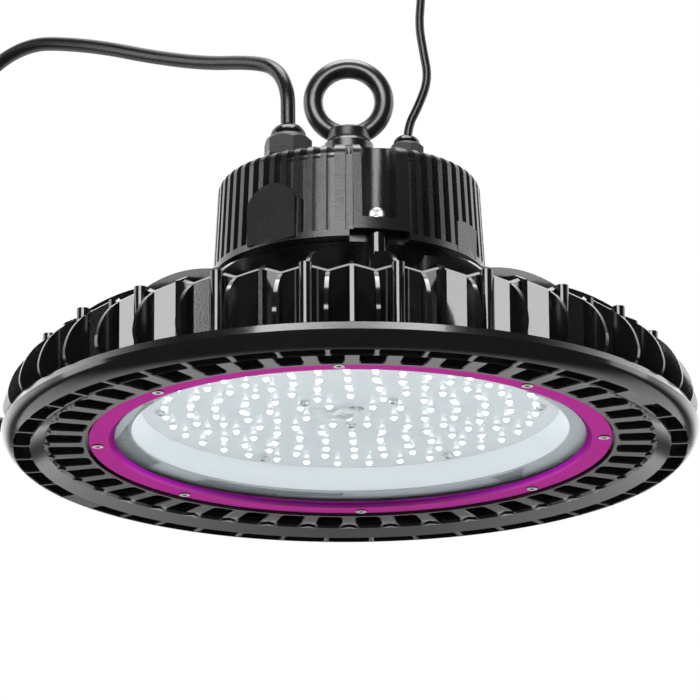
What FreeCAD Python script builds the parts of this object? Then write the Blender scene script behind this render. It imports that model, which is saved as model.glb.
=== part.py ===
import FreeCAD, Part
import math
import os

from FreeCAD import Vector

# Pendant grow light. Lengths are in millimetres. While the pieces are made, z is measured upwards
# from the lowest underside face; every piece is then lowered so that the origin is the centre of
# the lifting eye. Azimuth is measured about +Z from the front, which is the -Y side, towards +X.

# Driving dimensions
eye_height = 186.0
rim_radius = 175.0
slot_count = 44
driver_radius = 69.0
driver_bottom = 90.5
skirt_bottom = 90.8
cable_diameter = 7.5
control_cable_diameter = 4.5

pitch = 360.0 / slot_count
half_pitch = pitch / 2

# Underside levels and radii of the heat sink
inner_slot_level = 4.0
bezel_seat = 9.2
gasket_seat = 11.3
board_seat = 24.5
base_top = 31.0
bezel_bore = 132.6
glass_bore = 122.6
reflector_bore = 111.3
inner_slot_start = 134.6
inner_slot_end = 152.1
outer_slot_start = 160.6
outer_slot_end = 168.6
solid_pads = (7, 29)
wall_top = 49.6
wall_shoulder = 40.6
boss_circle = 155.6
fold_radius = 1.3
boss_radius = 3.1
slot_flare = 0.6
plate_thickness = 2.0

# Light engine
bezel_face = 5.2
glass_bottom = 7.2
glass_thickness = 3.0
board_face = 22.4
led_rings = (
    (93.3, 36, 6.3),
    (80.5, 33, 1.9),
    (68.0, 30, 1.9),
    (53.8, 24, 1.75),
    (40.3, 16, 1.7),
    (25.5, 9, -20.0),
    (12.6, 3, -3.0),
)
bezel_screw_places = [(127.0, -2.8 + 45.0 * k) for k in range(8)]
board_screw_places = [(95.5, 148.0 - 60.0 * k) for k in range(6)]
board_screw_places += [(26.0, 179.0), (26.0, 54.0), (26.0, 299.0)]
lead_hole = Vector(3.0, 0.0, 0.0)

# Driver
housing_bottom = 95.0
groove_bottom = 94.2
fin_thickness = 3.0
pocket_azimuths = (12.6, 132.6, 252.6)
pocket_radius = 9.0
slot_turn = 12.9
pocket_centre = 57.0
pocket_floor = 101.2
screw_circle = 61.0
post_radius = 5.25
base_radius = 60.7
cavity_radius = 45.0
cavity_top = 136.0
seat_top = 149.0
flange_top = 161.0

# Cable glands: place, size over the hexagon's flats and heights
mains_place = Vector(-30.8, -19.0, 0.0)
control_place = Vector(29.2, -16.0, 0.0)


def turned(shape, azimuth):
    copy = shape.copy()
    copy.rotate(Vector(0, 0, 0), Vector(0, 0, 1), azimuth)
    return copy


def at(radius, azimuth, z):
    angle = math.radians(azimuth)
    return Vector(radius * math.sin(angle), -radius * math.cos(angle), z)


def tube(outer, inner, bottom, top, place=Vector(0, 0, 0)):
    low = place + Vector(0, 0, bottom)
    ring = Part.makeCylinder(outer, top - bottom, low)
    if inner > 0:
        ring = ring.cut(Part.makeCylinder(inner, top - bottom + 2, low - Vector(0, 0, 1)))
    return ring


def spun(profile):
    """A closed outline of (radius, z) corners and arcs turned about the Z axis."""
    return outline(profile).revolve(Vector(0, 0, 0), Vector(0, 0, 1), 360)


def outline(profile):
    """A face in the X-Z plane. An entry of four numbers is an arc's middle and end."""
    edges = []
    start = Vector(profile[0][0], 0, profile[0][1])
    last = start
    for entry in profile[1:]:
        end = Vector(entry[-2], 0, entry[-1])
        if len(entry) == 4:
            edges.append(Part.Arc(last, Vector(entry[0], 0, entry[1]), end).toShape())
        else:
            edges.append(Part.LineSegment(last, end).toShape())
        last = end
    edges.append(Part.LineSegment(last, start).toShape())
    return Part.Face(Part.Wire(edges))


def blade(profile, thickness, azimuth):
    """An upright plate of the given (radius, z) outline, standing on a radius."""
    face = outline(profile)
    face.translate(Vector(0, -thickness / 2, 0))
    return turned(face.extrude(Vector(0, thickness, 0)), azimuth - 90)


def sector(inner, outer, half_angle, bottom, top, corner):
    """A block between two radii and two radial planes, at azimuth 90, with rounded corners."""
    ring = tube(outer, inner, bottom, top)
    far = outer * 2
    half = far * math.tan(math.radians(half_angle))
    corners = [Vector(0, 0, bottom), Vector(far, -half, bottom), Vector(far, half, bottom)]
    wedge = Part.Face(Part.makePolygon(corners + corners[:1])).extrude(Vector(0, 0, top - bottom))
    block = ring.common(wedge)
    upright = [e for e in block.Edges if abs(e.BoundBox.ZLength - (top - bottom)) < 0.01]
    return block.makeFillet(corner, upright)


def flared_slot(inner, outer, half_angle, level, top, corner):
    """A slot's block whose edge at the given level is chamfered."""
    def rim(grow, z):
        wider = half_angle + math.degrees(grow / outer)
        return sector(inner - grow, outer + grow, wider, z, z + 1.0, corner + grow).Faces
    def lowest(faces):
        return min(faces, key=lambda f: f.CenterOfMass.z).OuterWire
    flare = Part.makeLoft([
        lowest(rim(slot_flare * 2, level - slot_flare)), lowest(rim(0.0, level + slot_flare)),
    ], True, True)
    return sector(inner, outer, half_angle, level - 1.0, top, corner).fuse(flare)


def prism(radius_across_flats, bottom, top, place, azimuth=0):
    corner = radius_across_flats / math.cos(math.pi / 6)
    points = [at(corner, azimuth + 60 * k, bottom) + place for k in range(7)]
    return Part.Face(Part.makePolygon(points)).extrude(Vector(0, 0, top - bottom))


def group(shapes):
    return Part.makeCompound(shapes)


def save(name, shape):
    placed = shape.copy()
    placed.translate(Vector(0, 0, -eye_height))
    placed.exportStep("parts/" + name + ".step")


# Heat sink


def pan():
    """The turned body: rim, slotted grille and the pan that carries the light engine."""
    return spun([
        (6.0, board_seat),
        (reflector_bore, board_seat),
        (reflector_bore, gasket_seat),
        (glass_bore, gasket_seat),
        (glass_bore, bezel_seat),
        (bezel_bore, bezel_seat),
        (bezel_bore, inner_slot_level),
        (inner_slot_end, inner_slot_level),
        (160.0, 0.0),
        (168.6, 0.0),
        (173.0, 3.4, rim_radius, 8.6),
        (172.8, 12.7),
        (172.3, 13.0),
        (169.4, 11.6),
        (168.7, 6.0),
        (156.0, 7.0),
        (134.3, 8.5),
        (134.3, 17.0),
        (116.5, 17.0),
        (116.5, base_top),
        (6.0, base_top),
    ])


def pleated_wall():
    """A thin upright wall folded out at each outer fin and in at each rib, its top falling outwards."""
    def star(ridge, valley, bottom, top):
        points = [at(ridge if k % 2 else valley, half_pitch * k, bottom) for k in range(2 * slot_count)]
        block = Part.Face(Part.makePolygon(points + points[:1])).extrude(Vector(0, 0, top - bottom))
        folds = [e for e in block.Edges if e.BoundBox.ZLength > top - bottom - 0.1]
        return block.makeFillet(fold_radius, folds)
    wall = star(160.2, 152.6, 3.2, wall_top).cut(star(157.8, 150.2, 2.0, wall_top + 1.0))
    sloped = spun([(148.0, 2.0), (162.0, 2.0), (162.0, wall_shoulder), (150.0, wall_top), (148.0, wall_top)])
    return wall.common(sloped)


def outer_fin(azimuth):
    profile = [
        (158.4, 5.0), (158.4, 42.6), (160.0, 41.9), (169.6, 32.4, 173.6, 22.5),
        (173.7, 17.5, 171.2, 12.6), (169.8, 5.0),
    ]
    return blade(profile, plate_thickness, azimuth)


def tall_rib(azimuth):
    profile = [
        (boss_circle, 6.0), (boss_circle, 46.8), (153.0, 48.4), (133.0, 60.6, 106.0, 70.0), (90.0, 76.0),
        (86.0, 74.0), (52.0, 72.0), (40.0, 58.0), (40.0, 30.0), (116.0, 30.0), (116.0, 16.0),
        (134.0, 16.0), (134.0, 6.0),
    ]
    return blade(profile, plate_thickness, azimuth)


def low_rib(azimuth):
    profile = [
        (155.0, 6.0), (155.0, 47.4), (147.0, 51.5), (134.0, 54.0), (120.0, 54.0), (96.0, 46.0),
        (72.0, 44.0), (72.0, 30.0), (116.0, 30.0), (116.0, 16.0), (134.0, 16.0), (134.0, 6.0),
    ]
    return blade(profile, plate_thickness, azimuth)


def boss(azimuth):
    return tube(boss_radius, 0, 6.0, 48.2, at(boss_circle, azimuth, 0))


def post(azimuth):
    """A post that carries the driver, with a threaded hole in its top."""
    return tube(post_radius, 0, 30.0, housing_bottom, at(screw_circle, azimuth, 0))


def post_hole(azimuth):
    return tube(2.1, 0, housing_bottom - 18.0, housing_bottom + 1.0, at(screw_circle, azimuth, 0))


def heat_sink():
    ribs = []
    for k in range(slot_count):
        ribs.append(outer_fin(pitch * k + half_pitch))
        ribs.append(tall_rib(pitch * k) if k % 2 else low_rib(pitch * k))
    bosses = [boss(pitch * k) for k in range(1, slot_count, 2)]
    posts = [post(a) for a in pocket_azimuths]
    hub = tube(15.0, 6.0, 30.0, 58.0)
    body = pan().multiFuse([pleated_wall(), hub] + ribs + bosses + posts)

    outer_slot = flared_slot(outer_slot_start, outer_slot_end, 3.6, 0.0, 9.0, 0.8)
    inner_slot = flared_slot(inner_slot_start, inner_slot_end, 2.5, inner_slot_level, 10.0, 2.2)
    cuts = [turned(outer_slot, pitch * k - 90) for k in range(slot_count) if k not in solid_pads]
    cuts += [turned(inner_slot, pitch * k + half_pitch - 90) for k in range(slot_count)]
    cuts += [tube(1.55, 0, bezel_seat - 1, bezel_seat + 6.5, at(r, a, 0)) for r, a in bezel_screw_places]
    cuts += [tube(1.55, 0, board_seat - 1, board_seat + 5.5, at(r, a, 0)) for r, a in board_screw_places]
    cuts += [post_hole(a) for a in pocket_azimuths]
    return body.cut(group(cuts))


# Light engine


def bezel_ring():
    ring = spun([
        (121.0, bezel_face), (131.0, bezel_face), (131.3, bezel_face + 0.3), (131.3, bezel_seat),
        (122.3, bezel_seat), (122.3, glass_bottom), (118.2, glass_bottom),
    ])
    holes = [tube(1.7, 0, 4.0, 10.0, at(r, a, 0)) for r, a in bezel_screw_places]
    sinks = [tube(3.1, 0, 4.0, 6.6, at(r, a, 0)) for r, a in bezel_screw_places]
    return ring.cut(group(holes + sinks))


def recessed_screw(head_radius, head_bottom, head_top, shank_radius, tip, place):
    """A pan-head screw, head down, with a hexagonal socket in its face."""
    head = tube(head_radius, 0, head_bottom, head_top, place)
    socket = prism(head_radius * 0.42, head_bottom - 1, head_bottom + 0.9, place)
    return head.fuse(tube(shank_radius, 0, head_top, tip, place)).cut(socket)


def bezel_screws():
    return group([recessed_screw(2.85, 4.7, 6.6, 1.45, 15.0, at(r, a, 0)) for r, a in bezel_screw_places])


def board_screws():
    return group([
        recessed_screw(2.6, board_face - 2.0, board_face, 1.45, 29.4, at(r, a, 0))
        for r, a in board_screw_places
    ])


def cover_glass():
    return tube(122.0, 0, glass_bottom, glass_bottom + glass_thickness)


def glass_gasket():
    return tube(121.6, 109.8, glass_bottom + glass_thickness, gasket_seat)


def reflector_ring():
    return spun([
        (109.8, gasket_seat + 0.2), (111.0, gasket_seat + 0.2), (106.3, board_face - 0.05), (105.0, board_face - 0.05)])


def drilled_disc(radius, bottom, top):
    disc = tube(radius, 0, bottom, top)
    holes = [tube(1.65, 0, bottom - 1, top + 1, at(r, a, 0)) for r, a in board_screw_places]
    holes.append(tube(4.0, 0, bottom - 1, top + 1, lead_hole))
    return disc.cut(group(holes))


def led_board():
    return drilled_disc(110.0, board_face, board_face + 1.6)


def thermal_pad():
    return drilled_disc(108.0, board_face + 1.6, board_seat)


def led_chips():
    """Square packages on seven rings, each turned to face the centre."""
    chips = []
    for radius, count, start in led_rings:
        for k in range(count):
            azimuth = 180.0 - start - 360.0 * k / count
            box = Part.makeBox(3.5, 3.5, 1.0, Vector(-1.75, -radius - 1.75, board_face - 1.0))
            chips.append(turned(box, azimuth))
    return group(chips)


def lead_terminal():
    block = Part.makeBox(8.0, 9.0, 4.6, Vector(-20.0, -0.5, board_face - 4.6))
    wire_ways = [
        Part.makeCylinder(1.35, 6.0, Vector(-15.0, y, board_face - 2.3), Vector(1, 0, 0)) for y in (2.0, 6.0)
    ]
    return block.cut(group(wire_ways))


def board_leads():
    """Two insulated wires from the centre hole to the terminal, in gentle arcs below the board."""
    low = board_face - 2.3
    first = [
        Vector(3, 1.5, 29), Vector(3, 1.5, low), Vector(-2, 9, low), Vector(-8, 6, low),
        Vector(-14.8, 6, low),
    ]
    second = [
        Vector(3, -1.5, 29), Vector(3, -1.5, low), Vector(-3, -6, low), Vector(-8.5, 2, low),
        Vector(-14.8, 2, low),
    ]
    return group([bent_tube(first, 2.4, 2.5), bent_tube(second, 2.4, 2.5)])


# Bent round stock


def bent_tube(points, diameter, radius=None):
    """Straight runs joined by tangent arcs, swept with a round section.

    With no radius given, each arc is as large as its two runs allow.
    """
    edges = []
    last = points[0]
    for before, corner, after in zip(points, points[1:], points[2:]):
        into = (corner - before).normalize()
        out = (after - corner).normalize()
        half_turn = into.getAngle(out) / 2
        shorter = min((corner - before).Length, (after - corner).Length)
        bend = radius if radius else 0.45 * shorter / math.tan(half_turn)
        reach = bend * math.tan(half_turn)
        start = corner - into * reach
        end = corner + out * reach
        inward = (out - into).normalize()
        middle = corner + inward * (bend / math.cos(half_turn) - bend)
        edges.append(Part.LineSegment(last, start).toShape())
        edges.append(Part.Arc(start, middle, end).toShape())
        last = end
        if not radius:
            bends.append(bend)
    edges.append(Part.LineSegment(last, points[-1]).toShape())
    path = Part.Wire(edges)
    heading = (points[1] - points[0]).normalize()
    section = Part.Wire([Part.Circle(points[0], heading, diameter / 2).toShape()])
    swept = path.makePipeShell([section], True, False)
    share = swept.Volume / (math.pi * diameter ** 2 / 4 * path.Length)
    print("bent tube", round(path.Length, 1), "mm long, volume share", round(share, 4))
    return swept


bends = []


# Driver


def housing_skin():
    """The outside of the driver housing, before its grooves are cut."""
    return spun([
        (0, skirt_bottom), (driver_radius, skirt_bottom), (66.6, 134.5),
        (65.4, 138.6, 61.5, 141.0), (48.0, 144.8), (26.0, 147.0), (15.5, 147.6),
        (15.5, 157.0), (0, 157.0),
    ])


def housing_core():
    """The solid body left between the fins."""
    return spun([
        (0, skirt_bottom), (driver_radius, skirt_bottom), (driver_radius - 0.15, groove_bottom),
        (62.8, 96.4), (61.8, 133.5), (60.8, 137.0, 57.5, 138.4), (30.0, 141.6), (0, 143.0),
    ])


def groove(azimuth):
    """The wedge between two fins of even thickness."""
    apex = fin_thickness / 2 / math.sin(math.radians(3.0))
    far = 80.0
    half = (far - apex) * math.tan(math.radians(3.0))
    corners = [Vector(apex, 0, groove_bottom), Vector(far, -half, groove_bottom), Vector(far, half, groove_bottom)]
    wedge = Part.Face(Part.makePolygon(corners + corners[:1])).extrude(Vector(0, 0, 80))
    return turned(wedge, azimuth - 90)


def groove_azimuths():
    """Even grooves between the pockets, and one beside each pocket."""
    found = []
    for pocket in pocket_azimuths:
        found.append(pocket - slot_turn)
        found += [pocket + 15.0 + 6.0 * k for k in range(15)]
    return found


def pocket(azimuth):
    """A half-round recess for a housing screw, open to the outside."""
    height = 60.0
    round_back = Part.makeCylinder(pocket_radius, height, Vector(pocket_centre, 0, pocket_floor))
    mouth = Part.makeBox(20, 2 * pocket_radius, height, Vector(pocket_centre, -pocket_radius, pocket_floor))
    return turned(round_back.fuse(mouth), azimuth - 90)


def deep_slot(azimuth):
    """A narrow slot beside a pocket, cut well in behind the grooves."""
    return turned(Part.makeBox(30.0, 3.6, 60.0, Vector(54.0, -1.8, 98.0)), azimuth - slot_turn - 90)


def skirt_notch(azimuth):
    """The gap in the housing's skirt through which a post reaches the housing."""
    return turned(sector(base_radius - 1.0, driver_radius + 3.0, 13.0, 89.0, housing_bottom, 1.0), azimuth - 90)


def smooth_pad(azimuth, width, shoulder, top, face_distance):
    """A plain flat panel over the grooves, with an arched top."""
    half = width / 2
    corners = [Vector(58.0, y, z) for y, z in ((-half, shoulder), (-half, 92.2), (half, 92.2), (half, shoulder))]
    arch = Part.Arc(corners[3], Vector(58.0, 0, top), corners[0]).toShape()
    face = Part.Face(Part.Wire(Part.makePolygon(corners).Edges + [arch]))
    return turned(face.extrude(Vector(face_distance - 58.0, 0, 0)), azimuth - 90)


def gland_seat(place, radius):
    return tube(radius, 0, 138.0, 147.9, place)


def driver_housing():
    core = housing_core()
    grooves = group([groove(a) for a in groove_azimuths()]).cut(core)
    body = housing_skin().cut(grooves)
    body = body.multiFuse([
        smooth_pad(-35.0, 29.0, 113.0, 122.5, 68.8),
        smooth_pad(59.0, 18.6, 107.0, 108.4, 68.6),
        gland_seat(mains_place, 13.6),
        gland_seat(control_place, 10.2),
    ])
    cuts = [pocket(a) for a in pocket_azimuths]
    cuts += [deep_slot(a) for a in pocket_azimuths]
    cuts += [skirt_notch(a) for a in pocket_azimuths]
    cuts += [tube(2.7, 0, 90.0, 105.0, at(screw_circle, a, 0)) for a in pocket_azimuths]
    cuts.append(tube(base_radius + 0.3, 0, skirt_bottom - 1, housing_bottom))
    cuts.append(tube(cavity_radius, 0, housing_bottom - 1, cavity_top))
    cuts.append(tube(13.2, 0, 129.0, cavity_top, mains_place))
    cuts.append(tube(5.1, 0, cavity_top - 1, 160.0))
    cuts.append(tube(8.1, 0, cavity_top - 1, 160.0, mains_place))
    cuts.append(tube(5.6, 0, cavity_top - 1, 160.0, control_place))
    return body.cut(group(cuts))


def driver_base():
    plate = tube(base_radius, 0, driver_bottom, housing_bottom - 1.0)
    lip = tube(cavity_radius - 0.4, cavity_radius - 3.0, housing_bottom - 1.0, housing_bottom + 3.0)
    holes = [tube(post_radius + 0.3, 0, 89.0, 96.0, at(screw_circle, a, 0)) for a in pocket_azimuths]
    holes.append(tube(5.0, 0, 89.0, 99.0))
    return plate.fuse(lip).cut(group(holes))


def base_gasket():
    ring = tube(base_radius - 0.5, cavity_radius + 1.0, housing_bottom - 1.0, housing_bottom)
    return ring.cut(group([tube(post_radius + 0.3, 0, 93.0, 96.0, at(screw_circle, a, 0)) for a in pocket_azimuths]))


def housing_screws():
    """Cap screws with a rounded, knurled head and a hexagonal socket."""
    screws = []
    for azimuth in pocket_azimuths:
        place = at(screw_circle, azimuth, 0)
        head = tube(4.6, 0, pocket_floor + 1.1, pocket_floor + 6.1, place)
        head = head.makeFillet(0.8, [e for e in head.Edges if e.BoundBox.ZMin > pocket_floor + 6])
        shank = tube(2.05, 0, housing_bottom - 16.0, pocket_floor + 1.1, place)
        socket = prism(2.0, pocket_floor + 3.6, pocket_floor + 7, place)
        screws.append(head.fuse(shank).cut(socket))
    return group(screws)


def housing_washers():
    return group([
        tube(4.9, 2.2, pocket_floor, pocket_floor + 1.1, at(screw_circle, a, 0)) for a in pocket_azimuths
    ])


# Driver electronics


def circuit_board():
    board = Part.makeBox(72.0, 48.0, 1.6, Vector(-36.0, -24.0, 104.0))
    holes = [tube(1.7, 0, 103.0, 107.0, Vector(x, y, 0)) for x in (-31, 31) for y in (-19, 19)]
    return board.cut(group(holes + [tube(4.0, 0, 103.0, 107.0, Vector(0, -12, 0))]))


def board_pillars():
    return group([tube(3.0, 1.6, 94.0, 104.0, Vector(x, y, 0)) for x in (-31, 31) for y in (-19, 19)])


def circuit_screws():
    screws = []
    for x in (-31, 31):
        for y in (-19, 19):
            place = Vector(x, y, 0)
            screws.append(tube(2.7, 0, 105.6, 107.6, place).fuse(tube(1.5, 0, 97.0, 105.6, place)))
    return group(screws)


def transformer():
    core = Part.makeBox(24.0, 20.0, 17.0, Vector(-12.0, -3.0, 105.6))
    window = Part.makeBox(14.0, 22.0, 9.0, Vector(-7.0, -4.0, 109.6))
    return core.cut(window).fuse(Part.makeBox(14.0, 24.0, 9.0, Vector(-7.0, -5.0, 109.6)))


def capacitors():
    small = [tube(4.0, 0, 105.6, 119.0, Vector(23.0, y, 0)) for y in (-8.0, 2.0, 12.0)]
    return group([tube(7.0, 0, 105.6, 124.0, Vector(-24.0, -5.0, 0))] + small)


def filter_choke():
    ring = Part.makeTorus(6.0, 2.6, Vector(-24.0, 11.5, 114.2), Vector(0, 1, 0))
    foot = Part.makeBox(14.0, 7.0, 1.6, Vector(-31.0, 8.0, 105.6))
    feet_joint = tube(1.6, 0, 105.6, 108.0, Vector(-24.0, 11.5, 0))
    return ring.fuse(foot).fuse(feet_joint)


def power_switches():
    return group([
        Part.makeBox(10.0, 4.6, 15.0, Vector(x, -22.5, 105.6)) for x in (-17.0, 7.0)
    ])


def output_lead():
    """The sheathed pair from the driver down to the light engine's hub."""
    return tube(4.0, 0, 29.4, 103.9)


def output_grommet():
    collar = tube(7.0, 4.05, driver_bottom - 1.8, driver_bottom)
    return collar.fuse(tube(4.95, 4.05, driver_bottom, 94.6))


def hub_grommet():
    collar = tube(8.0, 4.05, 58.0, 60.2)
    return collar.fuse(tube(5.9, 4.05, 50.0, 58.0))


# Lifting eye


def eyebolt():
    """A cast lifting eye: a round ring blended into a collar, with its shank below."""
    ring = Part.makeTorus(18.1, 5.1, Vector(0, 0, eye_height), Vector(0, 1, 0))
    collar = spun([
        (0, flange_top), (12.7, flange_top), (12.7, 162.4), (11.6, 163.6, 11.1, 165.6),
        (10.9, 169.2), (10.2, 170.4, 8.6, 170.8), (0, 170.8),
    ])
    shank = tube(4.95, 0, 125.0, flange_top)
    opening = Part.makeCylinder(12.95, 40, Vector(0, -20, eye_height), Vector(0, 1, 0))
    return ring.fuse(collar.cut(opening)).fuse(shank)


def eyebolt_nut():
    return prism(8.5, 127.6, 135.6, Vector(0, 0, 0)).cut(tube(5.0, 0, 127.0, 137.0))


def eyebolt_washer():
    return tube(12.8, 5.2, 158.4, flange_top - 0.1)


def eyebolt_seal():
    return tube(12.2, 5.2, 157.0, 158.4)


# Cable glands


def gland_nut(place, flats, dome, bottom, shoulder, top, bore, cable):
    """A chamfered hexagon with a domed cap, bored for the cable and hollow below."""
    hexagon = prism(flats / 2, bottom, shoulder, place, 12.0)
    wide = flats / 2 / math.cos(math.pi / 6) + 0.4
    drop = wide - dome
    cone = Part.makeCone(wide + 6.0, dome, drop + 6.0, place + Vector(0, 0, shoulder - drop - 6.0))
    hexagon = hexagon.common(cone)
    cap = Part.makeSphere(1.0)
    stretch = FreeCAD.Matrix()
    stretch.scale(dome, dome, (top - shoulder) * 1.06)
    cap = cap.transformGeometry(stretch)
    cap.translate(place + Vector(0, 0, shoulder - 0.2))
    upper = Part.makeBox(60, 60, top - shoulder + 0.2, place + Vector(-30, -30, shoulder - 0.2))
    body = hexagon.fuse(cap.common(upper))
    hollow = tube(bore, 0, bottom - 1, shoulder - 1.0, place)
    way = tube(cable / 2 + 0.2, 0, shoulder - 3, top + 3, place)
    return body.cut(hollow).cut(way)


def gland_body(place, flats, thread, bottom, low, high, sleeve_top, cable):
    hexagon = prism(flats / 2, low, high, place, 12.0)
    body = hexagon.fuse(tube(thread, 0, bottom, low, place)).fuse(tube(thread, 0, high, sleeve_top, place))
    return body.cut(tube(cable / 2 + 1.6, 0, bottom - 1, sleeve_top + 1, place))


def gland_seal(place, cable, bottom, top):
    return tube(cable / 2 + 1.5, cable / 2, bottom, top, place)


def gland_locknut(place, flats, thread, bottom, top):
    return prism(flats / 2, bottom, top, place, 12.0).cut(tube(thread + 0.1, 0, bottom - 1, top + 1, place))


# Free cords

mains_route = [
    Vector(-30.8, -19.0, 153.0),
    Vector(-30.8, -19.0, 170.5),
    Vector(-31.0, -18.7, 187.0),
    Vector(-37.4, -10.8, 201.4),
    Vector(-50.5, 4.2, 209.6),
    Vector(-73.0, 29.0, 218.2),
    Vector(-101.0, 57.5, 232.4),
    Vector(-128.0, 81.5, 247.0),
    Vector(-150.0, 98.0, 255.5),
    Vector(-166.8, 109.7, 259.9),
    Vector(-183.8, 121.5, 256.2),
    Vector(-198.2, 131.5, 244.8),
    Vector(-208.0, 138.4, 226.3),
    Vector(-213.0, 141.6, 202.0),
    Vector(-214.6, 142.0, 170.0),
    Vector(-213.0, 139.5, 130.0),
    Vector(-210.5, 136.5, 98.0),
    Vector(-205.8, 133.4, 72.5),
    Vector(-193.0, 127.5, 55.5),
    Vector(-172.0, 119.7, 49.0),
    Vector(-146.0, 111.0, 50.5),
    Vector(-119.0, 104.5, 58.5),
    Vector(-93.0, 98.0, 68.5),
    Vector(-72.0, 92.0, 77.0),
    Vector(-53.0, 87.0, 84.0),
    Vector(-33.8, 84.6, 88.8),
]
tail_route = [
    Vector(36.0, 150.7, 78.3),
    Vector(24.5, 162.5, 75.6),
    Vector(6.0, 170.1, 77.4),
    Vector(-14.0, 170.1, 77.4),
]
control_route = [
    Vector(29.2, -16.0, 150.5),
    Vector(29.2, -16.0, 165.5),
    Vector(35.4, -16.0, 177.8),
    Vector(40.6, -16.0, 192.5),
    Vector(38.2, -16.0, 207.0),
    Vector(36.0, -16.0, 221.5),
    Vector(37.2, -16.0, 236.0),
    Vector(37.8, -16.0, 248.0),
]
coil_centre = Vector(0.0, 124.0, 74.6)
coil_slope = 19.7
coil_radius = 42.0
coil_half = 8.0


def lay_on_slope(shape):
    """Turns a piece made flat at the origin onto the slope of the rear ribs."""
    shape.rotate(Vector(0, 0, 0), Vector(1, 0, 0), -coil_slope)
    shape.translate(coil_centre)
    return shape


def mains_coil():
    low, high = coil_radius - coil_half, coil_radius + coil_half
    edge = 3.0
    ring = spun([
        (low + edge, -coil_half), (high - edge, -coil_half), (high, -coil_half + edge),
        (high, coil_half - edge), (high - edge, coil_half), (low + edge, coil_half),
        (low, coil_half - edge), (low, -coil_half + edge),
    ])
    return lay_on_slope(ring)


def coil_tie():
    """A soft strap round the bundle of turns."""
    outer, inner = coil_half + 1.8, coil_half + 0.6
    block = Part.makeBox(2 * outer, 9.0, 2 * outer, Vector(coil_radius - outer, -4.5, -outer))
    hole = Part.makeBox(2 * inner, 11.0, 2 * inner, Vector(coil_radius - inner, -5.5, -inner))
    return lay_on_slope(block.cut(hole))


def place_plug(shape):
    """Takes a piece made along +X, with the cable entering at the origin, to the cord's end."""
    shape.rotate(Vector(0, 0, 0), Vector(0, 0, 1), 180)
    shape.rotate(Vector(0, 0, 0), Vector(1, 0, 0), -coil_slope)
    shape.translate(tail_route[-1])
    return shape


def mains_plug():
    boot = Part.makeCone(5.2, 7.0, 18.0, Vector(0, 0, 0), Vector(1, 0, 0))
    body = Part.makeBox(27.0, 25.0, 19.0, Vector(17.0, -12.5, -9.5))
    body = body.makeFillet(4.0, [e for e in body.Edges if e.BoundBox.XLength > 20])
    return place_plug(body.fuse(boot))


def plug_pins():
    blades = [Part.makeBox(17.0, 1.5, 6.3, Vector(44.0, y - 0.75, -5.5)) for y in (-6.35, 6.35)]
    earth = Part.makeCylinder(2.4, 19.0, Vector(44.0, 0, 6.2), Vector(1, 0, 0))
    return place_plug(group(blades + [earth]))


def control_connector():
    """An inline connector with a ribbed nut, standing on the end of the control cable."""
    end = control_route[-1]
    body = tube(5.0, 0, 0.0, 20.0, end).fuse(tube(6.4, 0, 8.0, 24.0, end))
    body = body.cut(tube(5.2, 0, 16.0, 25.0, end))
    return body.cut(tube(control_cable_diameter / 2, 0, -1.0, 4.0, end))


def connector_insert():
    end = control_route[-1]
    pins = [tube(0.6, 0, 18.0, 23.0, end + Vector(x, y, 0)) for x in (-1.6, 1.6) for y in (-1.6, 1.6)]
    return tube(5.1, 0, 16.0, 18.0, end).multiFuse(pins)


def free_cord(name, route, diameter):
    bends.clear()
    save(name, bent_tube(route, diameter))
    print(name, "radii", [round(b, 1) for b in bends])


def gland_set(name, place, cable, flats, thread, dome, shoulder, top):
    """One gland's five pieces, from the dome nut down to the locknut inside the housing."""
    high = seat_top + 2.4
    save(name + "_gland_nut", gland_nut(place, flats, dome, high + 0.1, shoulder, top, thread + 0.2, cable))
    save(name + "_gland_body", gland_body(place, flats, thread, 126.0, seat_top, high, shoulder - 2.5, cable))
    save(name + "_gland_seal", gland_seal(place, cable, shoulder - 8.0, shoulder - 1.2))
    save(name + "_gland_ring", tube(thread + 2.0, thread + 0.1, 147.9, seat_top, place))
    save(name + "_gland_locknut", gland_locknut(place, flats, thread, 131.0, 135.9))


def make_all():
    os.makedirs("parts", exist_ok=True)
    save("heat_sink", heat_sink())
    save("bezel_ring", bezel_ring())
    save("bezel_screws", bezel_screws())
    save("cover_glass", cover_glass())
    save("glass_gasket", glass_gasket())
    save("reflector_ring", reflector_ring())
    save("led_board", led_board())
    save("thermal_pad", thermal_pad())
    save("led_chips", led_chips())
    save("board_screws", board_screws())
    save("lead_terminal", lead_terminal())
    save("board_leads", board_leads())
    save("driver_housing", driver_housing())
    save("driver_base", driver_base())
    save("base_gasket", base_gasket())
    save("housing_screws", housing_screws())
    save("housing_washers", housing_washers())
    save("circuit_board", circuit_board())
    save("board_pillars", board_pillars())
    save("circuit_screws", circuit_screws())
    save("transformer", transformer())
    save("capacitors", capacitors())
    save("filter_choke", filter_choke())
    save("power_switches", power_switches())
    save("output_lead", output_lead())
    save("output_grommet", output_grommet())
    save("hub_grommet", hub_grommet())
    save("eyebolt", eyebolt())
    save("eyebolt_nut", eyebolt_nut())
    save("eyebolt_washer", eyebolt_washer())
    save("eyebolt_seal", eyebolt_seal())
    gland_set("mains", mains_place, cable_diameter, 22.0, 8.0, 9.1, 160.5, 167.4)
    gland_set("control", control_place, control_cable_diameter, 15.4, 5.5, 6.9, 157.0, 162.2)
    free_cord("mains_cable", mains_route, cable_diameter)
    free_cord("mains_cable_end", tail_route, cable_diameter)
    free_cord("control_cable", control_route, control_cable_diameter)
    save("mains_coil", mains_coil())
    save("coil_tie", coil_tie())
    save("mains_plug", mains_plug())
    save("plug_pins", plug_pins())
    save("control_connector", control_connector())
    save("connector_insert", connector_insert())


make_all()
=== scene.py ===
import math

import bpy
import numpy as np
from mathutils import Matrix, Vector


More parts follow.
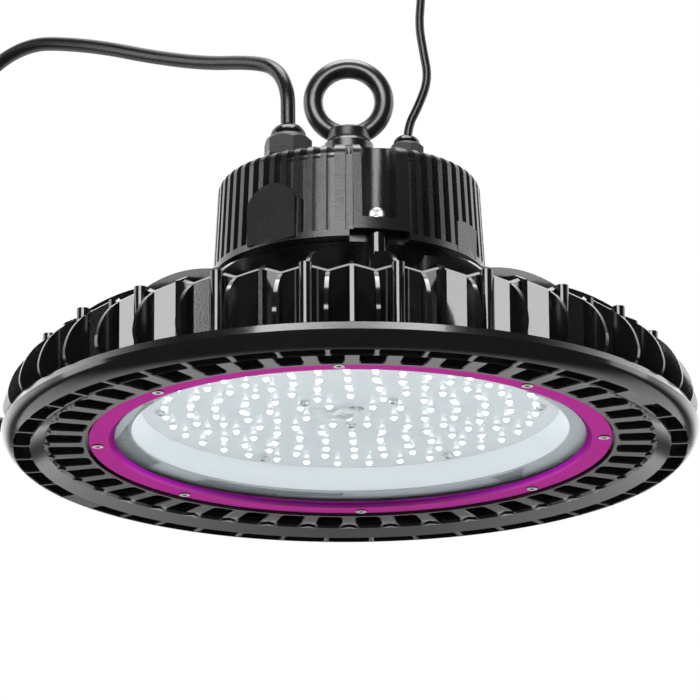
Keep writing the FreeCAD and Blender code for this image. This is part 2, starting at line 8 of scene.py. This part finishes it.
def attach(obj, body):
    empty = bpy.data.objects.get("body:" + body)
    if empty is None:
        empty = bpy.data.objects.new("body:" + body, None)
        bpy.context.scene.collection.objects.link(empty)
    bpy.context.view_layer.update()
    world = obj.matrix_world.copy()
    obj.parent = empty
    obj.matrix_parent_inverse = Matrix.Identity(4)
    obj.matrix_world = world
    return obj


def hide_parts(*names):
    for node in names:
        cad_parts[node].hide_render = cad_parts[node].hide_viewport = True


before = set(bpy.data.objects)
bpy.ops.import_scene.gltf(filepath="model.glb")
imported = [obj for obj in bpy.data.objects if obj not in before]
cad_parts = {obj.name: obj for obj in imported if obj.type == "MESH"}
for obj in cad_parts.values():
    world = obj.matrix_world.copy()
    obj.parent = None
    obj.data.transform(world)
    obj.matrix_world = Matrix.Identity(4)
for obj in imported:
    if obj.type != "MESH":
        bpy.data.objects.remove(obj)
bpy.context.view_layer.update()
print("frame loaded,", len(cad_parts), "CAD nodes")

eyeHeight = 0.186  # the row's origin is the eye's centre, this far over the lowest face


def up(points):
    # (x, y, height over the lowest face) in mm becomes a point of the row in metres
    return np.asarray(points, float) * 0.001 - (0, 0, eyeHeight)


shot = {
    "distance": 2.8,
    "azimuth": -0.4,
    "height": -16.54,  # where the camera stands, seen from the lowest face's centre
    "aim": 17.58,  # how far it looks upwards
    "roll": -0.34,
    "lens": 287.6,
}


def makeCamera(shot):
    # stands on a sphere round the underside's centre and looks up a little past it
    data = bpy.data.cameras.new("shotCamera")
    data.lens = shot["lens"]
    data.sensor_width = 36.0
    data.clip_end = 60.0
    camera = bpy.data.objects.new("shotCamera", data)
    bpy.context.collection.objects.link(camera)
    turn, low, aim = (math.radians(shot[k]) for k in ("azimuth", "height", "aim"))
    away = Vector((math.sin(turn) * math.cos(low), -math.cos(turn) * math.cos(low), math.sin(low)))
    camera.location = away * shot["distance"] - Vector((0, 0, eyeHeight))
    look = Vector((-math.sin(turn) * math.cos(aim), math.cos(turn) * math.cos(aim), math.sin(aim)))
    camera.rotation_mode = "QUATERNION"
    camera.rotation_quaternion = look.to_track_quat("-Z", "Y") @ Matrix.Rotation(
        math.radians(shot["roll"]), 3, "Z").to_quaternion()
    bpy.context.scene.camera = camera


makeCamera(shot)
bpy.context.scene.view_settings.view_transform = "Standard"


class Wire:
    # a node's output that reads as a number in Python expressions
    def __init__(self, look, socket):
        self.look, self.socket = look, socket

    def maths(self, operation, *values):
        return self.look.node("ShaderNodeMath", {"operation": operation}, dict(enumerate(values)))

    def __add__(self, other):
        return self.maths("ADD", self, other)

    def __sub__(self, other):
        return self.maths("SUBTRACT", self, other)

    def __rsub__(self, other):
        return self.maths("SUBTRACT", other, self)

    def __mul__(self, other):
        return self.maths("MULTIPLY", self, other)

    def __pow__(self, other):
        return self.maths("POWER", self, other)

    __radd__ = __add__
    __rmul__ = __mul__

    def clamp(self):
        return self.maths("MINIMUM", self.maths("MAXIMUM", self, 0.0), 1.0)

    def step(self, low, high):
        # 0 under low and 1 over high, with a soft change between
        return self.look.node("ShaderNodeMapRange", {"interpolation_type": "SMOOTHSTEP"},
                              {"Value": self, "From Min": low, "From Max": high})


class Look:
    # one material under construction
    def __init__(self, tree):
        self.tree = tree

    def node(self, kind, settings=None, inputs=None, out=0):
        made = self.tree.nodes.new(kind)
        for name, value in (settings or {}).items():
            setattr(made, name, value)
        for name, value in (inputs or {}).items():
            if isinstance(value, Wire):
                self.tree.links.new(value.socket, made.inputs[name])
            else:
                made.inputs[name].default_value = value
        return Wire(self, made.outputs[out])

    def place(self):
        return self.node("ShaderNodeTexCoord", out="Object")

    def noise(self, size, detail=2.0, rough=0.5, stretch=None, warp=0.0):
        # 0 to 1 pattern whose lumps are about size metres across
        at = self.place()
        if stretch:
            at = self.node("ShaderNodeMapping", None, {"Vector": at, "Scale": stretch})
        return self.node("ShaderNodeTexNoise", None, {
            "Vector": at, "Scale": 1.0 / size, "Detail": detail, "Roughness": rough,
            "Distortion": warp})

    def mix(self, factor, first, second):
        # colours go through a Mix node, never through Math
        made = self.tree.nodes.new("ShaderNodeMix")
        made.data_type = "RGBA"
        for index, value in ((0, factor), (6, first), (7, second)):  # 6 and 7 are its colour sockets
            if isinstance(value, Wire):
                self.tree.links.new(value.socket, made.inputs[index])
            else:
                made.inputs[index].default_value = value if index == 0 else (*value[:3], 1.0)
        return Wire(self, made.outputs[2])

    def bump(self, height, depth):
        return self.node("ShaderNodeBump", None, {"Height": height, "Distance": depth, "Strength": 1.0})


def newLook(name):
    material = bpy.data.materials.new(name)
    material.use_nodes = True
    look = Look(material.node_tree)
    look.material = material
    look.shader = material.node_tree.nodes["Principled BSDF"]
    return look


def finishLook(look, fixed, **varied):
    # fixed numbers go on the shader's own sockets, what varies is linked
    for name, value in fixed.items():
        look.shader.inputs[name].default_value = value
    names = {"colour": "Base Color", "rough": "Roughness", "glow": "Emission Color", "normal": "Normal"}
    for name, wire in varied.items():
        look.tree.links.new(wire.socket, look.shader.inputs[names[name]])
    return look.material


studio = {
    "backAbove": 1.5,  # brightness of the white behind the lamp
    "sweep": (0.06, 1.25),  # the white sweep below, level with the lamp and further down
    "front": 0.05,  # and of the dark side behind the camera
    "backEdge": (0.05, 0.55),  # where dark turns to white, by how far a direction looks back
    "sweepEdge": (-0.2, 0.1),  # where the sweep turns to the white behind, by its rise
    "deepEdge": (-0.32, -0.27),  # and where the sweep brightens further down
    "seen": 1.0,  # the same for what the camera sees directly
    "floorHeight": -1.16,
    "floorRadii": (0.2, 9.0),
    "boxes": (  # name, place, size, watts
        ("frontBox", (-0.42, -2.45, 0.62), (1.9, 0.9), 48.0),
        ("topBox", (0.0, -0.1, 1.9), (1.5, 1.3), 44.0),
        ("leftBox", (-2.3, 0.1, 0.4), (0.8, 1.7), 12.0),
        ("rightBox", (2.3, 0.3, 0.4), (0.8, 1.7), 9.0),
    ),
}


def makeStudio(studio):
    world = bpy.data.worlds.new("studio")
    bpy.context.scene.world = world
    world.use_nodes = True
    look = Look(world.node_tree)
    direction = look.node("ShaderNodeTexCoord", out="Generated")
    behind = look.node("ShaderNodeSeparateXYZ", None, {"Vector": direction}, out="Y").step(*studio["backEdge"])
    height = look.node("ShaderNodeSeparateXYZ", None, {"Vector": direction}, out="Z")
    above, deep = height.step(*studio["sweepEdge"]), 1 - height.step(*studio["deepEdge"])
    seen = look.node("ShaderNodeLightPath", out="Is Camera Ray")
    below = studio["sweep"][0] + (studio["sweep"][1] - studio["sweep"][0]) * deep
    back = below * (1 - above) + studio["backAbove"] * above
    lit = studio["front"] + (back - studio["front"]) * behind
    strength = seen * studio["seen"] + (1 - seen) * lit
    background = world.node_tree.nodes["Background"]
    background.inputs["Color"].default_value = (1, 1, 1, 1)
    world.node_tree.links.new(strength.socket, background.inputs["Strength"])
    for name, place, size, watts in studio["boxes"]:
        light = bpy.data.lights.new(name, "AREA")
        light.shape, (light.size, light.size_y), light.energy = "RECTANGLE", size, watts
        lamp = bpy.data.objects.new(name, light)
        bpy.context.collection.objects.link(lamp)
        lamp.location = place
        lamp.rotation_euler = (Vector((0, 0, -0.1)) - Vector(place)).to_track_quat("-Z", "Y").to_euler()
        lamp.visible_camera = False
    # a flat disc of rings, its height nought: (r cos a, r sin a)
    r, a = np.meshgrid(np.linspace(*studio["floorRadii"], 8), np.linspace(0, 2 * np.pi, 64, endpoint=False))
    low = np.full(r.shape, studio["floorHeight"])
    floor = gridMesh("floor", np.stack([r * np.cos(a), r * np.sin(a), low], -1).transpose(1, 0, 2),
                     caps=(True, False))
    look = newLook("paleFloor")
    cloud = look.noise(0.5, 3.0)
    floor.data.materials.append(finishLook(
        look, {"Specular IOR Level": 0.2},
        colour=look.mix(cloud, (0.82, 0.82, 0.82), (0.86, 0.86, 0.86)), rough=0.7 + 0.1 * cloud))
    floor.visible_glossy = False  # the shine of the black paint is left to the lights


def gridMesh(name, points, caps):
    # points[i, j] is a grid, its rows closed rings; faces join each point to its neighbours, and
    # caps close the first and the last ring
    rows, columns = points.shape[:2]
    index = np.arange(rows * columns).reshape(rows, columns)
    ring, nextRing = index[:-1], index[1:]
    faces = np.stack([ring, np.roll(ring, -1, 1), np.roll(nextRing, -1, 1), nextRing], -1)
    faces = faces.reshape(-1, 4).tolist()
    if caps[0]:
        faces.append(index[0, ::-1].tolist())
    if caps[1]:
        faces.append(index[-1].tolist())
    mesh = bpy.data.meshes.new(name)
    mesh.from_pydata(points.reshape(-1, 3).tolist(), [], faces)
    mesh.shade_smooth()
    mesh.update()
    made = bpy.data.objects.new(name, mesh)
    bpy.context.collection.objects.link(made)
    return made


makeStudio(studio)
print("camera, lights and floor made")


def castLook(name, dark, light, rough, grain, depth, coat, coatRough=0.08):
    # cast metal under black paint: fine skin, slow patches of shine, dust in faint specks
    look = newLook(name)
    skin = look.noise(grain, 3.0, 0.6)
    patch = look.noise(0.045, 3.0, 0.55, warp=0.4)
    wave = look.noise(0.008, 2.0)
    speck = look.noise(0.0016, 1.0).step(0.72, 0.80)
    colour = look.mix(patch, dark, light)
    colour = look.mix(speck * 0.12, colour, (0.10, 0.10, 0.105))
    normal = look.bump(skin + 0.6 * wave, depth)
    fixed = {"Coat Roughness": coatRough, "Coat IOR": 1.5, "IOR": 1.5, "Coat Weight": coat}
    return finishLook(look, fixed, colour=colour,
                      rough=(rough + 0.10 * (patch - 0.5) + 0.10 * (skin - 0.5) + 0.1 * speck).clamp(),
                      normal=normal)


def metalLook(name, dark, light, rough, brushed=0.0004, depth=0.00002, stretch=(1, 1, 1), metal=1.0):
    # plated or bare metal: fine drawn lines, patches of shine, a few darker handling marks
    look = newLook(name)
    lines = look.noise(brushed, 2.0, 0.6, stretch=stretch)
    patch = look.noise(0.006, 3.0)
    mark = look.noise(0.002, 2.0).step(0.62, 0.75)
    colour = look.mix(patch, dark, light)
    colour = look.mix(mark * 0.3, colour, tuple(0.55 * c for c in dark))
    return finishLook(look, {"Metallic": metal}, colour=colour,
                      rough=(rough + 0.12 * (patch - 0.5) + 0.14 * (lines - 0.5)).clamp(),
                      normal=look.bump(lines, depth))


def glandLook(name, shoulder):
    # a nut of matt nylon whose domed cap, over the given height, is glossy
    look = newLook(name)
    height = look.node("ShaderNodeSeparateXYZ", None, {"Vector": look.place()}, out="Z")
    cap = height.step(shoulder - 0.0003, shoulder + 0.0003)
    skin = look.noise(0.0006, 3.0, 0.6)
    patch = look.noise(0.008, 3.0)
    colour = look.mix(patch, (0.020, 0.020, 0.021), (0.034, 0.034, 0.036))
    colour = look.mix(cap, colour, (0.006, 0.006, 0.007))
    rough = (0.44 - 0.30 * cap + 0.10 * (patch - 0.5) + 0.08 * (skin - 0.5)).clamp()
    return finishLook(look, {}, colour=colour, rough=rough,
                      normal=look.bump(skin * (1 - 0.8 * cap), 0.00007))


def softLook(name, dark, light, rough, grain, depth):
    # moulded rubber, silicone or nylon: matt skin, soft patches, rubbed spots
    look = newLook(name)
    skin = look.noise(grain, 3.0, 0.6)
    patch = look.noise(0.012, 3.0)
    rub = look.noise(0.004, 2.0).step(0.6, 0.75)
    return finishLook(look, {}, colour=look.mix(patch, dark, light),
                      rough=(rough + 0.12 * (patch - 0.5) + 0.10 * (skin - 0.5) - 0.08 * rub).clamp(),
                      normal=look.bump(skin, depth))


def bezelLook(colours):
    # anodised ring: colour a touch uneven, turned lines round the axis, fine blasted grain, and a darker violet
    # inner lip that is painted shade and reflection
    look = newLook("magentaBezel")
    at = look.node("ShaderNodeSeparateXYZ", None, {"Vector": look.place()}, out="X")
    across = look.node("ShaderNodeSeparateXYZ", None, {"Vector": look.place()}, out="Y")
    radius = look.node("ShaderNodeMath", {"operation": "SQRT"}, {0: at * at + across * across})
    lines = look.node("ShaderNodeMath", {"operation": "SINE"}, {0: radius * 16000.0})
    patch = look.noise(0.05, 3.0)
    grain = look.noise(0.0004, 3.0)
    # painted shade and reflection: inside a radius of about 120 mm the ring turns a darker violet
    lipShadeMask = 1 - radius.step(0.1185, 0.1215)
    colour = look.mix(patch, colours["dark"], colours["light"])
    colour = look.mix(lipShadeMask, colour, colours["lip"])
    return finishLook(look, {"Metallic": 0.85, "Specular Tint": (0.80, 0.16, 0.62, 1.0)}, colour=colour,
                      rough=(0.34 + 0.10 * (patch - 0.5) + 0.08 * (grain - 0.5)).clamp(),
                      normal=look.bump(grain + 0.12 * lines, 0.00002))


def glassLook():
    # thin clear glass: see-through but for its shine, which grows towards grazing
    material = bpy.data.materials.new("clearGlass")
    material.use_nodes = True
    look = Look(material.node_tree)
    material.node_tree.nodes.remove(material.node_tree.nodes["Principled BSDF"])
    smear = look.noise(0.03, 3.0, warp=0.5)
    fine = look.noise(0.0015, 2.0).step(0.72, 0.8)
    normal = look.bump(smear, 0.00003)
    gloss = look.node("ShaderNodeBsdfGlossy", None, {
        "Color": (0.92, 0.96, 0.98, 1.0), "Roughness": 0.03, "Normal": normal})
    clear = look.node("ShaderNodeBsdfTransparent", None, {"Color": (0.955, 0.975, 0.98, 1.0)})
    facing = look.node("ShaderNodeLayerWeight", None, {"Blend": 0.5}, out="Facing")
    factor = (0.02 + 0.42 * facing ** 5 + 0.02 * smear + 0.02 * fine).clamp()  # Schlick's rule
    mixed = look.node("ShaderNodeMixShader", None, {0: factor, 1: clear, 2: gloss})
    look.tree.links.new(mixed.socket, material.node_tree.nodes["Material Output"].inputs["Surface"])
    return material


def glowLook(name, dark, light, glow, strength, rough):
    # a white surface with an emission: the diodes' own light, and on the reflector and the board painted light
    # from the diodes beside them
    look = newLook(name)
    skin = look.noise(0.0006, 3.0)
    patch = look.noise(0.02, 3.0)
    return finishLook(look, {"Emission Strength": strength}, colour=look.mix(patch, dark, light),
                      glow=look.mix(patch, glow, tuple(0.93 * c for c in glow)),
                      rough=(rough + 0.1 * (patch - 0.5) + 0.08 * (skin - 0.5)).clamp(),
                      normal=look.bump(skin, 0.00002))


looks = {
    "castBlack": castLook("castBlack", (0.004, 0.004, 0.0045), (0.008, 0.008, 0.009), 0.15, 0.0013, 0.00003,
                          0.5),
    "powderBlack": castLook("powderBlack", (0.008, 0.008, 0.009), (0.016, 0.016, 0.018), 0.27, 0.0009,
                            0.00011, 0.32, coatRough=0.28),
    "enamel": castLook("enamelBlack", (0.004, 0.004, 0.005), (0.009, 0.009, 0.010), 0.28, 0.0030, 0.00005,
                       0.7, coatRough=0.30),
    "nylon": softLook("blackNylon", (0.014, 0.014, 0.015), (0.026, 0.026, 0.028), 0.30, 0.0005, 0.00004),
    "rubber": softLook("blackRubber", (0.012, 0.012, 0.013), (0.024, 0.024, 0.026), 0.42, 0.0006, 0.00005),
    "gasket": softLook("gasketSilicone", (0.42, 0.45, 0.46), (0.50, 0.53, 0.54), 0.45, 0.0006, 0.00003),
    "silicone": softLook("greySilicone", (0.22, 0.245, 0.255), (0.28, 0.305, 0.315), 0.5, 0.0006, 0.00003),
    # the lip's darker violet is painted shade and reflection on the inner bevel
    "bezel": bezelLook({
        "dark": (0.47, 0.075, 0.32), "light": (0.53, 0.095, 0.36), "lip": (0.30, 0.004, 0.34)}),
    "steel": metalLook("brightSteel", (0.62, 0.62, 0.61), (0.78, 0.78, 0.77), 0.20),
    "zinc": metalLook("zincSteel", (0.50, 0.51, 0.50), (0.66, 0.66, 0.64), 0.34),
    "glass": glassLook(),
    "mainsNut": glandLook("mainsNutNylon", -0.0255),
    "controlNut": glandLook("controlNutNylon", -0.0290),
    # painted light: the reflector and the board glow as if lit by the diodes
    "reflector": glowLook("whiteReflector", (0.68, 0.70, 0.71), (0.74, 0.75, 0.76), (0.94, 0.98, 1.0),
                          0.27, 0.22),
    "board": glowLook("whiteBoard", (0.50, 0.52, 0.53), (0.57, 0.58, 0.59), (0.93, 0.97, 1.0), 0.16, 0.24),
    "diode": glowLook("diodeWhite", (0.62, 0.62, 0.60), (0.68, 0.68, 0.66), (1.0, 1.0, 1.0), 0.25, 0.3),
    "litSteel": metalLook("litSteel", (0.72, 0.72, 0.71), (0.84, 0.84, 0.83), 0.5),
    "whiteWire": softLook("whiteWire", (0.72, 0.74, 0.74), (0.80, 0.81, 0.81), 0.42, 0.0005, 0.00003),
    "circuit": softLook("circuitGreen", (0.012, 0.10, 0.045), (0.020, 0.14, 0.06), 0.35, 0.0016, 0.00006),
    "epoxy": softLook("componentBlack", (0.02, 0.02, 0.02), (0.035, 0.035, 0.035), 0.5, 0.0004, 0.00003),
    "copper": metalLook("woundCopper", (0.50, 0.22, 0.09), (0.62, 0.30, 0.12), 0.32, 0.0004, 0.0001,
                        stretch=(1, 1, 6), metal=0.9),
    "sleeve": softLook("canSleeve", (0.015, 0.025, 0.075), (0.025, 0.035, 0.10), 0.28, 0.0008, 0.00002),
}

nodeLooks = {
    "castBlack": ("heat_sink",),
    "powderBlack": ("driver_housing", "driver_base"),
    "enamel": ("eyebolt", "eyebolt_washer"),
    "nylon": ("mains_gland_body", "mains_gland_locknut", "control_gland_body", "control_gland_locknut",
              "mains_plug", "control_connector", "connector_insert", "coil_tie"),
    "mainsNut": ("mains_gland_nut",),
    "controlNut": ("control_gland_nut",),
    "rubber": ("base_gasket", "output_lead", "output_grommet", "hub_grommet", "eyebolt_seal",
               "mains_gland_seal", "mains_gland_ring", "control_gland_seal", "control_gland_ring"),
    "gasket": ("glass_gasket",),
    "silicone": ("thermal_pad",),
    "bezel": ("bezel_ring",),
    "steel": ("bezel_screws", "housing_washers", "circuit_screws"),
    "litSteel": ("board_screws",),
    "zinc": ("eyebolt_nut", "board_pillars", "plug_pins"),
    "glass": ("cover_glass",),
    "reflector": ("reflector_ring",),
    "board": ("led_board", "lead_terminal"),
    "diode": ("led_chips",),
    "whiteWire": ("board_leads",),
    "circuit": ("circuit_board",),
    "epoxy": ("power_switches",),
    "copper": ("transformer", "filter_choke"),
    "sleeve": ("capacitors",),
}


def dress(node, material):
    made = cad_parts[node]
    if not made.material_slots:
        made.data.materials.append(None)
    for slot in made.material_slots:
        slot.material = material


for lookName, nodes in nodeLooks.items():
    for node in nodes:
        dress(node, looks[lookName])
print("materials made")

mainsCord = {
    "diameter": 0.0075,
    "length": 1.60,
    "route": (
        (-30.8, -19, 153), (-30.8, -19, 170.5), (-31, -18.7, 187), (-37.4, -10.8, 201.4), (-50.5, 4.2, 209.6),
        (-73, 29, 218.2), (-101, 57.5, 232.4), (-128, 81.5, 247), (-150, 98, 255.5), (-166.8, 109.7, 259.9),
        (-183.8, 121.5, 256.2), (-198.2, 131.5, 244.8), (-208, 138.4, 226.3), (-213, 141.6, 202),
        (-214.6, 142, 170), (-213, 139.5, 130), (-210.5, 136.5, 98), (-205.8, 133.4, 72.5), (-193, 127.5, 55.5),
        (-172, 119.7, 49), (-146, 111, 50.5), (-119, 104.5, 58.5), (-93, 98, 68.5), (-72, 91, 76.5),
        (-53, 84.5, 82.5), (-33.8, 80.8, 86.2)),
    "tail": ((24.5, 162.5, 75.6), (6, 170.1, 77.4), (-14, 170.1, 77.4)),
    "coilCentre": (0.0, 124.0, 74.6),
    "coilSlope": 19.7,
    "coilRadii": (45.9, 38.2, 38.2, 45.9),  # the four places of a turn: two low, two high
    "coilHeights": (-3.8, -3.8, 3.8, 3.8),
    "turns": 3.344,
    "pointsPerTurn": 16,
}
controlCord = {
    "diameter": 0.0045,
    "length": 0.10,
    "route": ((29.2, -16, 150.5), (29.2, -16, 165.5), (35.4, -16, 177.8), (40.6, -16, 192.5), (38.2, -16, 207),
              (36, -16, 221.5), (37.2, -16, 236), (37.8, -16, 248)),
}


def coilPoints(cord):
    # turn s stands at angle 360 s - 90 in the coil's sloping plane; near the end of each turn
    # it moves to the next place of the bundle, the last turn first, so that none meet
    s = np.arange(0, cord["turns"], 1.0 / cord["pointsPerTurn"])
    moves = (0, 0.875, 1.0, 1.75, 1.875, 2.625, 2.75, 9.0)
    places = np.interp(s, moves, (0, 0, 1, 1, 2, 2, 3, 3))
    shrink = math.cos(math.pi / cord["pointsPerTurn"])  # the smooth line runs inside its points
    r = np.interp(places, range(4), cord["coilRadii"]) / shrink
    w = np.interp(places, range(4), cord["coilHeights"])
    a = 2 * np.pi * (s - 0.25)
    v, slope = r * np.sin(a), math.radians(cord["coilSlope"])
    cx, cy, cz = cord["coilCentre"]
    return np.stack([cx + r * np.cos(a), cy + v * math.cos(slope) + w * math.sin(slope),
                     cz - v * math.sin(slope) + w * math.cos(slope)], -1)


def cordCurve(name, points, diameter):
    data = bpy.data.curves.new(name, "CURVE")
    data.dimensions = "3D"
    data.bevel_depth = diameter / 2
    data.bevel_resolution = 5
    data.resolution_u = 8
    data.use_fill_caps = True
    line = data.splines.new("NURBS")
    line.points.add(len(points) - 1)
    line.points.foreach_set("co", np.column_stack([points, np.ones(len(points))]).ravel())
    line.order_u = 3
    line.use_endpoint_u = True
    made = bpy.data.objects.new(name, data)
    bpy.context.collection.objects.link(made)
    return made


def cableLook(name, dark, light, rough):
    # extruded jacket: slow shine along its length, fine drawn skin, a little dust
    look = newLook(name)
    skin = look.noise(0.0007, 3.0, 0.6)
    patch = look.noise(0.02, 3.0, warp=0.3)
    dust = look.noise(0.0011, 1.0).step(0.70, 0.80)
    colour = look.mix(dust * 0.4, look.mix(patch, dark, light), (0.08, 0.08, 0.085))
    return finishLook(look, {"IOR": 1.5}, colour=colour,
                      rough=(rough + 0.12 * (patch - 0.5) + 0.08 * (skin - 0.5) + 0.1 * dust).clamp(),
                      normal=look.bump(skin + 0.5 * patch, 0.00006))


jacket = cableLook("cableJacket", (0.005, 0.005, 0.006), (0.011, 0.011, 0.012), 0.27)
mainsLine = np.vstack([up(mainsCord["route"]), up(coilPoints(mainsCord)), up(mainsCord["tail"])])
mainsLead = cordCurve("mainsLead", mainsLine, mainsCord["diameter"])
mainsLead.data.materials.append(jacket)
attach(mainsLead, "luminaire")
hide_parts("mains_cable", "mains_coil", "mains_cable_end")

controlLead = cordCurve("controlLead", up(controlCord["route"]), controlCord["diameter"])
controlLead.data.materials.append(jacket)
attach(controlLead, "luminaire")
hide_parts("control_cable")
print("cords laid")

diodes = {
    # in mm and degrees: a ring's radius, how many, angle of the first
    "rings": ((93.3, 36, 6.3), (80.5, 33, 1.9), (68, 30, 1.9), (53.8, 24, 1.75), (40.3, 16, 1.7),
              (25.5, 9, -20), (12.6, 3, -3)),
    "seat": 21.42,  # height of the domes' rims over the lowest face, in mm
    "lensRadius": 0.0015,
    "lensHeight": 0.0013,
}


def diodeLenses(diodes):
    # each lens is a dome hanging down: (R sin u cos v, R sin u sin v, -H cos u) about its diode
    u, v = np.meshgrid(np.linspace(0.25, np.pi / 2, 4), np.linspace(0, 2 * np.pi, 10, endpoint=False),
                       indexing="ij")
    r = diodes["lensRadius"] * np.sin(u)
    dome = np.stack([r * np.cos(v), r * np.sin(v), -diodes["lensHeight"] * np.cos(u)], -1)
    rows, columns = u.shape
    index = np.arange(rows * columns).reshape(rows, columns)
    side = np.stack([index[:-1], index[1:], np.roll(index[1:], -1, 1), np.roll(index[:-1], -1, 1)], -1)
    centres = []
    for radius, count, start in diodes["rings"]:
        azimuth = np.radians(180 - start - 360.0 * np.arange(count) / count)
        centres.append(np.stack([radius * np.sin(azimuth), -radius * np.cos(azimuth),
                                 np.full(count, diodes["seat"])], -1))
    centres = up(np.vstack(centres))
    points = (centres[:, None, :] + dome.reshape(1, -1, 3)).reshape(-1, 3)
    shifts = np.arange(len(centres)) * rows * columns
    quads = (side.reshape(1, -1, 4) + shifts[:, None, None]).reshape(-1, 4)
    tips = index[0] + shifts[:, None]
    bases = index[-1, ::-1] + shifts[:, None]
    mesh = bpy.data.meshes.new("diodeLenses")
    mesh.from_pydata(points.tolist(), [], quads.tolist() + tips.tolist() + bases.tolist())
    mesh.shade_smooth()
    made = bpy.data.objects.new("diodeLenses", mesh)
    bpy.context.collection.objects.link(made)
    return made


lenses = diodeLenses(diodes)
lenses.data.materials.append(
    glowLook("diodeLens", (0.9, 0.9, 0.85), (0.95, 0.95, 0.92), (1.0, 1.0, 1.0), 9.0, 0.08))
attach(lenses, "luminaire")
print("diode lenses made")

knurledScrew = {
    "azimuths": (12.6, 132.6, 252.6),
    "circle": 61.0,
    "seat": 102.3,  # under the head, in mm over the lowest face
    "tip": 79.0,
    "shank": 2.05,
    "head": 4.5,
    "headHeight": 5.0,
    "knurls": 30,
    "knurlDepth": 0.16,
    "socket": 2.05,  # half the hexagon's flats
    "socketDepth": 2.6,
}


def knurledScrews(screw):
    # a profile (r, z) turned by the angle v; the head's band swells by depth * cos(knurls v), and
    # the socket's radius is flats / cos(v folded into +-30 degrees)
    top = screw["seat"] + screw["headHeight"]
    profile = np.array([  # radius, height, knurled, hexagonal
        (0.02, screw["tip"], 0, 0), (screw["shank"] - 0.5, screw["tip"], 0, 0),
        (screw["shank"], screw["tip"] + 0.6, 0, 0), (screw["shank"], screw["seat"], 0, 0),
        (screw["head"] - 0.35, screw["seat"], 0, 0), (screw["head"] - 0.1, screw["seat"] + 0.2, 0, 0),
        (screw["head"], screw["seat"] + 0.7, 1, 0), (screw["head"], top - 1.5, 1, 0),
        (screw["head"] - 0.05, top - 1.2, 0, 0), (screw["head"] - 0.25, top - 0.55, 0, 0),
        (screw["head"] - 0.7, top - 0.12, 0, 0), (screw["head"] - 1.2, top, 0, 0),
        (screw["socket"] + 0.2, top, 0, 1), (screw["socket"], top - 0.2, 0, 1),
        (screw["socket"], top - screw["socketDepth"], 0, 1), (0.02, top - screw["socketDepth"] - 0.5, 0, 1)])
    v = np.linspace(0, 2 * np.pi, 240, endpoint=False)
    fold = (v + np.pi / 6) % (np.pi / 3) - np.pi / 6
    radius, height, knurled, hexagonal = (column[:, None] for column in profile.T)
    r = radius * np.where(hexagonal > 0, 1 / np.cos(fold), 1.0)
    r = r + screw["knurlDepth"] * knurled * np.cos(screw["knurls"] * v)
    one = np.stack([r * np.cos(v), r * np.sin(v), np.broadcast_to(height, r.shape)], -1)
    parts = []
    for azimuth in np.radians(screw["azimuths"]):
        place = np.array([screw["circle"] * np.sin(azimuth), -screw["circle"] * np.cos(azimuth), 0])
        parts.append(gridMesh("housingScrew", up(one + place), caps=(True, True)))
    with bpy.context.temp_override(active_object=parts[0], selected_editable_objects=parts):
        bpy.ops.object.join()
    parts[0].name = "knurledScrews"
    parts[0].data.set_sharp_from_angle(angle=math.radians(35))
    return parts[0]


screws = knurledScrews(knurledScrew)
screws.data.materials.append(metalLook("knurledSteel", (0.66, 0.66, 0.65), (0.80, 0.80, 0.79), 0.30))
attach(screws, "luminaire")
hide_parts("housing_screws")
print("housing screws made")
